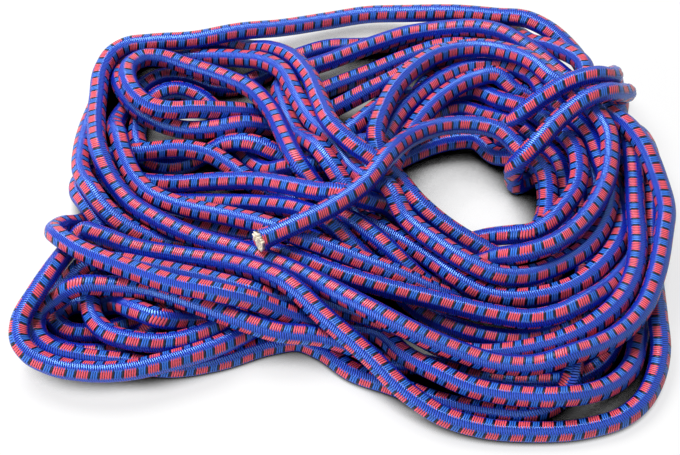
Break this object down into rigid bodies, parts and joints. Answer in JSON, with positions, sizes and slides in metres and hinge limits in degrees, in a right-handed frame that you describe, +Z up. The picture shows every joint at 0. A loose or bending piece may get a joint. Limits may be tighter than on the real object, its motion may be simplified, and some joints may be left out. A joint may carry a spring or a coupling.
{
  "type": "elastic rope",
  "caption": "Braided elastic rope with a rubber core, laid together as a loose hank bound by its own end, with one cut end lying on top.",
  "frame": {"origin": "bottom centre of the hank's box, on the surface that it lies on", "axes": "+X along the hank's length, towards the end with the tie; +Y away from the viewer; +Z up, through the hank's thickness"},
  "size_m": [0.2826, 0.2502, 0.0451],
  "materials": {
    "free_end_cover": "braided polyester, blue with red, light blue and black tracer blocks",
    "free_end_core": "cream natural rubber strands, cut",
    "hank_turns": "braided polyester, blue with red, light blue and black tracer blocks",
    "tie_wraps": "braided polyester, blue with red, light blue and black tracer blocks"
  },
  "bodies": {
    "root": {"free_end_cover": "free_end_cover", "free_end_core": "free_end_core", "hank_turns": "hank_turns", "tie_wraps": "tie_wraps"}
  },
  "joints": []
}
